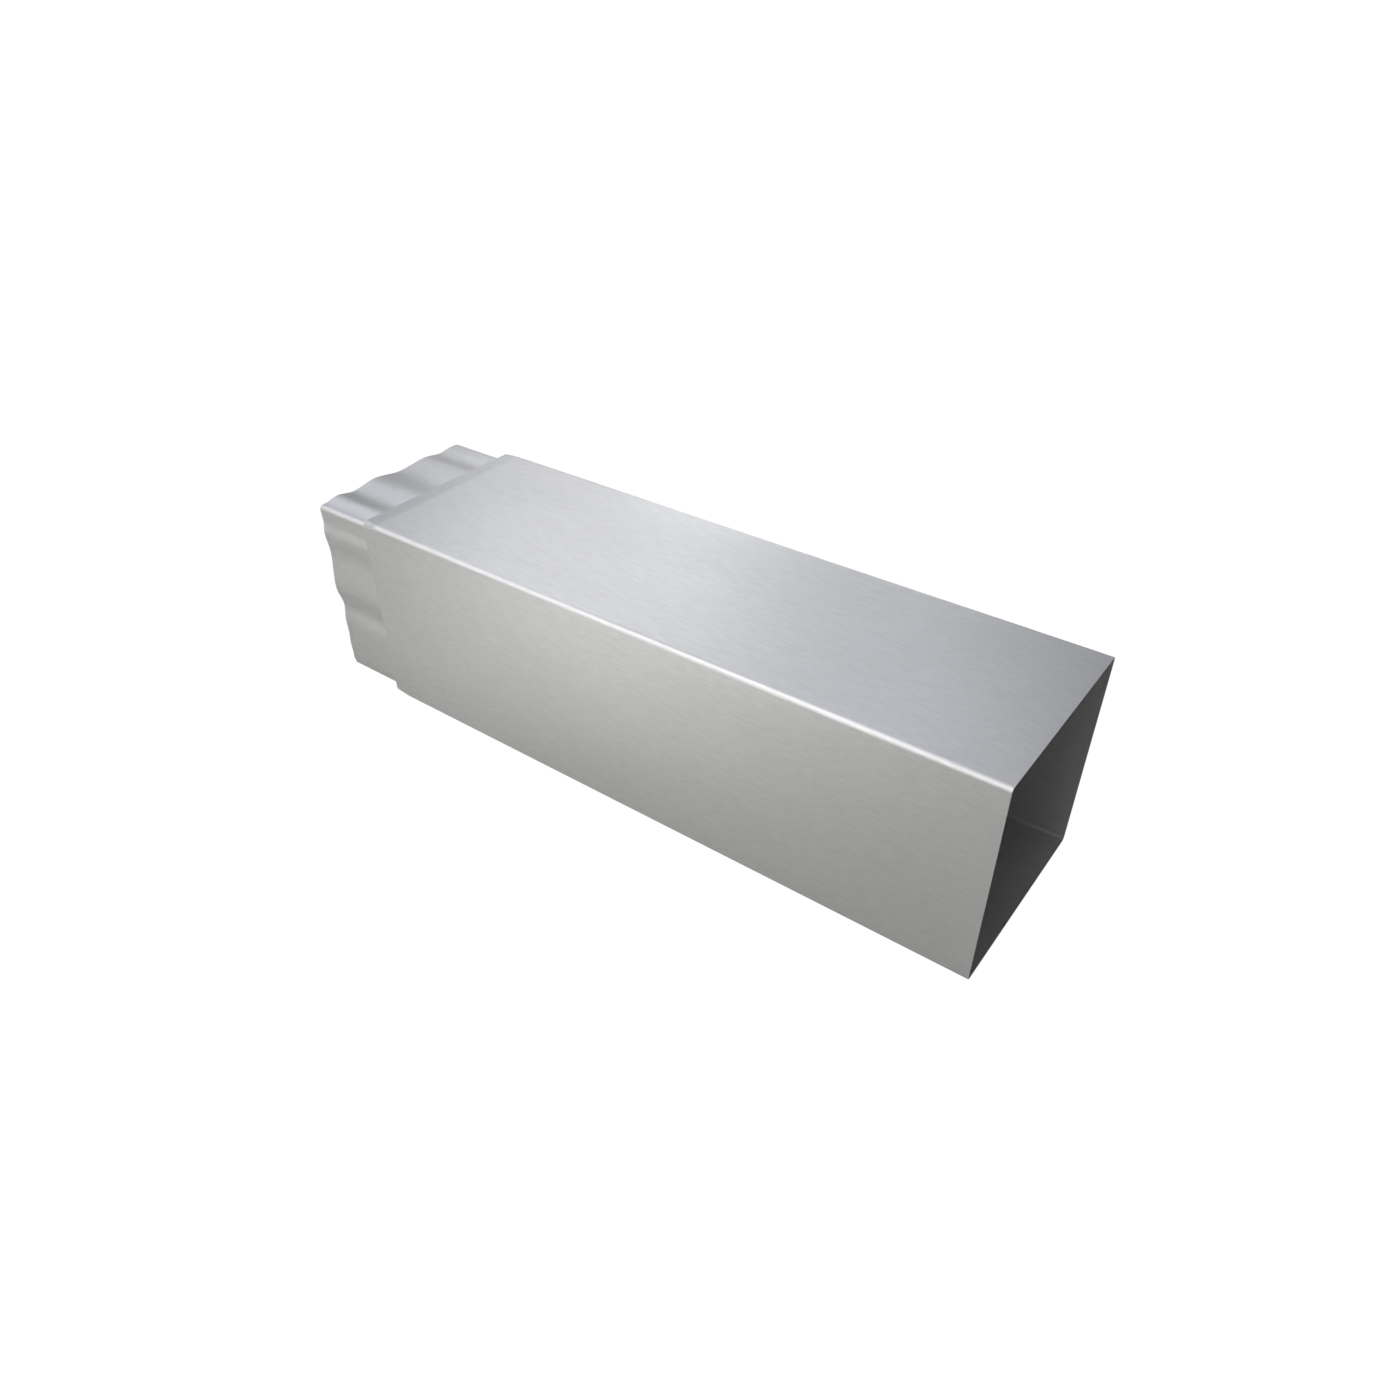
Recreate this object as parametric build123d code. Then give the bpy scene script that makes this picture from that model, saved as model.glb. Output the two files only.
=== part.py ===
from build123d import *
import os
from math import atan2, tan

# Sheet and square section, in millimetres
section_side = 150.0    # outside width and height of the plain body
sheet = 0.8             # thickness of the sheet
bend_radius = 3.0       # outside radius of the four lengthwise bends
shoulder_radius = 5.0   # outside radius of the same bends at the edge of the shoulder

# Lengths along the duct
body_length = 496.0     # plain mouth to the edge of the shoulder
spigot_length = 54.0    # edge of the shoulder to the crimped end
taper_length = 12.0     # last stretch of the body, drawn in before the shoulder
fold_length = 2.0       # edge of the shoulder to the foot of its fold, where the waves start

# Depths below the faces of the body
taper_inset = 0.3       # of the top and bottom at the edge of the shoulder
crimp_inset = 4.2       # of the corners of the crimped end
spigot_drop = 0.6       # the crimped end sits this much below the middle of the body

# Crimp waves: each point is the top of a crest or the foot of a trough, where the sheet runs level.
# It has its place, a share of the side between its bends, and its rise, a share of the wave height.
wave_height = 2.5
flat_waves = (
    (0.105, 0.80), (0.21, -0.13), (0.37, 0.96), (0.555, -0.32), (0.745, 0.46), (0.87, -0.42), (0.955, 0.06),
)
upright_waves = (
    (0.03, 0.38), (0.065, 0.28), (0.13, 0.45), (0.215, 0.10), (0.285, 0.22), (0.39, -0.52), (0.525, 0.92),
    (0.745, -0.12), (0.86, 0.46), (0.93, -0.14),
)

# Places along X, with the middle of the whole length at zero and the plain mouth at the positive end
mouth_x = (body_length + spigot_length) / 2
shoulder_x = mouth_x - body_length
taper_x = shoulder_x + taper_length
fold_x = shoulder_x - fold_length
end_x = shoulder_x - spigot_length


def side_edge(run, reach, waves, rise):
    """One side of a section, reach from the middle and run to either side of it, with waves of a rise."""
    first, last = (-run, reach), (run, reach)
    if rise == 0:
        return Line(first, last)
    points = [first, *((run * (2 * place - 1), reach + share * rise) for place, share in waves), last]
    return Spline(*points, tangents=[(1, 0)] * len(points))


def section(x, insets, radius, drop=0, rise=0):
    """Face across the duct at x: top and bottom inset by the first value and the upright sides by the second."""
    tall, wide = (section_side / 2 - inset for inset in insets)
    edges = []
    for turn, waves in enumerate((flat_waves, upright_waves, flat_waves, upright_waves)):
        reach, run = (tall, wide - radius) if turn % 2 == 0 else (wide, tall - radius)
        corner = CenterArc((run, reach - radius), radius, 0, 90)
        edges += [Rot(Z=-90 * turn) * side_edge(run, reach, waves, rise), Rot(Z=-90 * turn) * corner]
    across = Plane(origin=(x, 0, section_side / 2 - drop), x_dir=(0, 1, 0), z_dir=(1, 0, 0))
    return across * make_face(edges)


def skin(depth):
    """Everything inside the surface that lies depth below the outer skin, from mouth to crimped end."""
    mitre = depth * tan(atan2(crimp_inset, fold_length) / 2)
    mouth = section(mouth_x, (depth, depth), bend_radius - depth)
    taper_start = section(taper_x, (depth, depth), bend_radius - depth)
    edge = section(shoulder_x + mitre, (taper_inset + depth, depth), shoulder_radius - depth)
    crimp_insets = (crimp_inset + depth, crimp_inset + depth)
    foot = section(fold_x + mitre, crimp_insets, bend_radius - depth, spigot_drop, wave_height)
    body = loft([mouth, taper_start], ruled=True)
    taper = loft([taper_start, edge], ruled=True)
    fold = loft([edge, foot], ruled=True)
    spigot = extrude(foot, amount=fold_x + mitre - end_x, dir=(-1, 0, 0))
    return body + taper + fold + spigot


duct_pipe = skin(0) - skin(sheet)

os.makedirs("parts", exist_ok=True)
export_step(duct_pipe, "parts/duct_pipe.step")
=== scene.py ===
import math
import bmesh
import bpy
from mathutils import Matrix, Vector


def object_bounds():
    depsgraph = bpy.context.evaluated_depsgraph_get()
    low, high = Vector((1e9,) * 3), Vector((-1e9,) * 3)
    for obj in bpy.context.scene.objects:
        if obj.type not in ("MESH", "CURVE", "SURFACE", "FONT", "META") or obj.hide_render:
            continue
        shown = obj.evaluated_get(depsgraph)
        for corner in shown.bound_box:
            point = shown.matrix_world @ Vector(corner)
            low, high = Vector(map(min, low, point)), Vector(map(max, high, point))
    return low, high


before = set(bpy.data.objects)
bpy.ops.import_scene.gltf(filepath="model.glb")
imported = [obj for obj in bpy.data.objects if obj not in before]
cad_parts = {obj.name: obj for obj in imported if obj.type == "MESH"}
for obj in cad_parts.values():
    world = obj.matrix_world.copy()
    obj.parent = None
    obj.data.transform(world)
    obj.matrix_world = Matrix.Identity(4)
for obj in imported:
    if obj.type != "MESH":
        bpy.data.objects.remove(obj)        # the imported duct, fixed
cadLow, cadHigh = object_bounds()
print("duct loaded, size", [round(high - low, 4) for low, high in zip(cadLow, cadHigh)])

scene = bpy.context.scene
scene.view_settings.view_transform = "Standard"


# camera

cameraView = {
    "place": (0.39223, -0.50212, 0.50945),   # metres, in the duct's frame
    "azimuth": 36.11,                        # degrees, 0 looks along +Y
    "elevation": 38.46,
    "lens": 27.88,                           # millimetres on a 36 mm sensor
    "shiftX": -0.0014,
    "shiftY": 0.0303,
}


def placeCamera(view):
    turn = math.radians(view["azimuth"])
    rise = math.radians(view["elevation"])
    look = Vector((-math.sin(turn) * math.cos(rise), math.cos(turn) * math.cos(rise), -math.sin(rise)))
    data = bpy.data.cameras.new("photoCamera")
    data.lens = view["lens"]
    data.shift_x = view["shiftX"]
    data.shift_y = view["shiftY"]
    camera = bpy.data.objects.new("photoCamera", data)
    camera.location = view["place"]
    camera.rotation_euler = look.to_track_quat("-Z", "Y").to_euler()
    scene.collection.objects.link(camera)
    scene.camera = camera


placeCamera(cameraView)
print("camera placed")


# brushed sheet steel, the brush lines run along the duct

brushedSheet = {
    "darkLine": (0.552, 0.552, 0.555, 1.0),
    "lightLine": (0.648, 0.648, 0.651, 1.0),
    "toneRange": (0.3, 0.7),                 # pattern values that give the dark and the light line
    "anisotropy": 0.635,
    "roughness": (0.38, 0.42),               # in the light and the dark brush lines
    "lineScale": (110.0, 850.0, 850.0),      # brush lines per metre, along and across
    "lineDetail": 3.0,
    "lineRoughness": 0.6,
    "cloudScale": (5.0, 14.0, 14.0),         # slow drift of the finish, per metre
    "cloudDetail": 2.0,
    "cloudShare": 0.3,                       # of the drift in the pattern
    "lineDepth": 0.00002,                    # metres
    "reliefStrength": 0.25,
}


def makeBrushedSheet(values):
    material = bpy.data.materials.new("brushedSheet")
    material.use_nodes = True
    nodes = material.node_tree.nodes
    links = material.node_tree.links
    shader = nodes["Principled BSDF"]
    shader.inputs["Metallic"].default_value = 1.0
    shader.inputs["Anisotropic"].default_value = values["anisotropy"]
    around = nodes.new("ShaderNodeTangent")
    around.direction_type = "RADIAL"
    around.axis = "X"
    links.new(around.outputs["Tangent"], shader.inputs["Tangent"])

    place = nodes.new("ShaderNodeTexCoord")
    stretch = nodes.new("ShaderNodeMapping")
    stretch.inputs["Scale"].default_value = values["lineScale"]
    links.new(place.outputs["Object"], stretch.inputs["Vector"])
    brush = nodes.new("ShaderNodeTexNoise")
    brush.inputs["Scale"].default_value = 1.0
    brush.inputs["Detail"].default_value = values["lineDetail"]
    brush.inputs["Roughness"].default_value = values["lineRoughness"]
    links.new(stretch.outputs["Vector"], brush.inputs["Vector"])

    drift = nodes.new("ShaderNodeMapping")
    drift.inputs["Scale"].default_value = values["cloudScale"]
    links.new(place.outputs["Object"], drift.inputs["Vector"])
    cloud = nodes.new("ShaderNodeTexNoise")
    cloud.inputs["Scale"].default_value = 1.0
    cloud.inputs["Detail"].default_value = values["cloudDetail"]
    links.new(drift.outputs["Vector"], cloud.inputs["Vector"])

    blend = nodes.new("ShaderNodeMix")
    blend.inputs["Factor"].default_value = values["cloudShare"]
    links.new(brush.outputs["Fac"], blend.inputs["A"])
    links.new(cloud.outputs["Fac"], blend.inputs["B"])

    darkAt, lightAt = values["toneRange"]
    tone = nodes.new("ShaderNodeValToRGB")
    tone.color_ramp.elements[0].position = darkAt
    tone.color_ramp.elements[0].color = values["darkLine"]
    tone.color_ramp.elements[1].position = lightAt
    tone.color_ramp.elements[1].color = values["lightLine"]
    links.new(blend.outputs["Result"], tone.inputs["Fac"])
    links.new(tone.outputs["Color"], shader.inputs["Base Color"])

    lightRoughness, darkRoughness = values["roughness"]
    polish = nodes.new("ShaderNodeMapRange")
    polish.inputs["From Min"].default_value = darkAt
    polish.inputs["From Max"].default_value = lightAt
    polish.inputs["To Min"].default_value = darkRoughness
    polish.inputs["To Max"].default_value = lightRoughness
    links.new(blend.outputs["Result"], polish.inputs["Value"])
    links.new(polish.outputs["Result"], shader.inputs["Roughness"])

    relief = nodes.new("ShaderNodeBump")
    relief.inputs["Strength"].default_value = values["reliefStrength"]
    relief.inputs["Distance"].default_value = values["lineDepth"]
    links.new(brush.outputs["Fac"], relief.inputs["Height"])
    links.new(relief.outputs["Normal"], shader.inputs["Normal"])
    return material


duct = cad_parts["duct_pipe"]
duct.data.materials.clear()
duct.data.materials.append(makeBrushedSheet(brushedSheet))
print("duct finished")


# white floor and studio light

paleFloor = {
    "half": 15.0,                           # metres
    "matt": (0.2, 0.2, 0.2, 1.0),
    "glowColour": (1.0, 1.0, 0.94, 1.0),
    "glow": 0.236,                          # in the steel, with what the lamps throw on the floor
    "white": 1.02,                          # to the camera
}
studio = {
    "colour": (1.0, 1.0, 1.0, 1.0),
    "fill": 0.05,                           # in the steel, between the soft boxes
    "white": 1.02,                          # to the camera
}
softBoxSide = 0.9                           # metres
softBoxes = {                               # watts, turned to the middle of the duct as the wide boxes are
    "overhead": {"place": (-0.44, 0.56, 2.16), "power": 3.71, "colour": (0.90, 0.92, 1.0)},
    "left": {"place": (-1.76, 0.34, 1.35), "power": 2.82, "colour": (0.88, 0.92, 1.0)},
    "backLeftHigh": {"place": (-1.32, 1.01, 1.52), "power": 2.78, "colour": (0.94, 0.95, 1.0)},
    "backLeft": {"place": (-1.32, 1.44, 1.08), "power": 2.29, "colour": (1.0, 1.0, 1.0)},
    "backLow": {"place": (-0.88, 1.96, 0.56), "power": 4.9, "colour": (0.95, 0.97, 1.0)},
    "backHigh": {"place": (-0.44, 1.24, 1.84), "power": 2.16, "colour": (0.89, 0.91, 1.0)},
    "back": {"place": (0.0, 1.80, 1.34), "power": 0.87, "colour": (0.97, 1.0, 1.0)},
    "backRight": {"place": (1.32, 1.44, 1.08), "power": 9.66, "colour": (0.98, 0.98, 1.0)},
    "backRightLow": {"place": (1.32, 1.71, 0.50), "power": 15.0, "colour": (1.0, 1.0, 1.0)},
    "frontRightHigh": {"place": (1.32, -0.74, 1.67), "power": 5.0, "colour": (1.0, 1.0, 1.0)},
}
wideBoxSide = 1.6
wideBoxes = {
    "frontHigh": {"place": (-0.44, -0.91, 2.03), "power": 11.25, "colour": (1.0, 1.0, 1.0)},
    "front": {"place": (0.0, -1.80, 1.34), "power": 6.15, "colour": (0.99, 1.0, 0.98)},
    "frontLow": {"place": (0.0, -2.13, 0.64), "power": 3.83, "colour": (1.0, 1.0, 0.97)},
    "frontLeftHigh": {"place": (-1.32, -0.74, 1.67), "power": 11.41, "colour": (0.96, 0.96, 1.0)},
    "frontMiddleLow": {"place": (-0.88, -1.95, 0.60), "power": 5.62, "colour": (1.0, 0.99, 0.99)},
    "frontLeftLow": {"place": (-1.32, -1.70, 0.53), "power": 5.19, "colour": (1.0, 0.99, 0.98)},
    "leftLow": {"place": (-1.76, -1.28, 0.42), "power": 3.25, "colour": (1.0, 0.99, 0.95)},
}
poolLamp = {
    "offset": (0.0, -0.5, 1.2),             # of the lamp from the middle of its pool
    "radius": 0.1,
    "blend": 1.0,                           # soft all the way to the rim
}
floorPools = {                              # light on the floor before the duct, clear of it
    "poolMiddle": {
        "place": (-0.20, -0.40, 0.0), "reach": 0.27, "power": 223.5, "colour": (1.0, 1.0, 0.96),
    },
    "poolRight": {
        "place": (-0.05, -0.55, 0.0), "reach": 0.405, "power": 204.0, "colour": (1.0, 1.0, 0.98),
    },
    "poolLeft": {
        "place": (-0.55, -0.60, 0.0), "reach": 0.45, "power": 105.0, "colour": (0.99, 1.0, 0.93),
    },
}


def makeFloor(values):
    sheet = bmesh.new()
    bmesh.ops.create_grid(sheet, x_segments=1, y_segments=1, size=values["half"])
    mesh = bpy.data.meshes.new("floor")
    sheet.to_mesh(mesh)
    sheet.free()
    floor = bpy.data.objects.new("floor", mesh)
    scene.collection.objects.link(floor)
    material = bpy.data.materials.new("paleFloor")
    material.use_nodes = True
    nodes = material.node_tree.nodes
    links = material.node_tree.links
    matt = nodes["Principled BSDF"]
    matt.inputs["Base Color"].default_value = values["matt"]
    matt.inputs["Roughness"].default_value = 1.0
    matt.inputs["Specular IOR Level"].default_value = 0.0
    matt.inputs["Emission Color"].default_value = values["glowColour"]
    matt.inputs["Emission Strength"].default_value = values["glow"]
    glow = nodes.new("ShaderNodeEmission")
    glow.inputs["Strength"].default_value = values["white"]
    seen = nodes.new("ShaderNodeLightPath")
    choose = nodes.new("ShaderNodeMixShader")
    links.new(seen.outputs["Is Camera Ray"], choose.inputs["Fac"])
    links.new(matt.outputs["BSDF"], choose.inputs[1])
    links.new(glow.outputs["Emission"], choose.inputs[2])
    links.new(choose.outputs["Shader"], nodes["Material Output"].inputs["Surface"])
    mesh.materials.append(material)


def makeStudio(values):
    world = bpy.data.worlds.new("studio")
    scene.world = world
    world.use_nodes = True
    nodes = world.node_tree.nodes
    links = world.node_tree.links
    fill = nodes["Background"]
    fill.inputs["Color"].default_value = values["colour"]
    fill.inputs["Strength"].default_value = values["fill"]
    backdrop = nodes.new("ShaderNodeBackground")
    backdrop.inputs["Color"].default_value = values["colour"]
    backdrop.inputs["Strength"].default_value = values["white"]
    seen = nodes.new("ShaderNodeLightPath")
    choose = nodes.new("ShaderNodeMixShader")
    links.new(seen.outputs["Is Camera Ray"], choose.inputs["Fac"])
    links.new(fill.outputs["Background"], choose.inputs[1])
    links.new(backdrop.outputs["Background"], choose.inputs[2])
    links.new(choose.outputs["Shader"], nodes["World Output"].inputs["Surface"])


def hangLamp(name, data, values, place, aim):
    data.energy = values["power"]
    data.color = values["colour"]
    lamp = bpy.data.objects.new(name, data)
    lamp.location = place
    lamp.rotation_euler = (aim - place).to_track_quat("-Z", "Y").to_euler()
    lamp.visible_camera = False      # lights the duct, but stays out of every view
    scene.collection.objects.link(lamp)


def hangBoxes(boxes, side, aim):
    for name, values in boxes.items():
        data = bpy.data.lights.new(name, "AREA")
        data.size = side
        hangLamp(name, data, values, Vector(values["place"]), aim)


def hangPools(pools, stand):
    offset = Vector(stand["offset"])
    for name, values in pools.items():
        data = bpy.data.lights.new(name, "SPOT")
        data.shadow_soft_size = stand["radius"]
        data.spot_size = 2 * math.atan(values["reach"] / offset.length)
        data.spot_blend = stand["blend"]
        aim = Vector(values["place"])
        hangLamp(name, data, values, aim + offset, aim)


makeFloor(paleFloor)
makeStudio(studio)
ductMiddle = (cadLow + cadHigh) / 2
hangBoxes(softBoxes, softBoxSide, ductMiddle)
hangBoxes(wideBoxes, wideBoxSide, ductMiddle)
hangPools(floorPools, poolLamp)
print("floor and lights set")
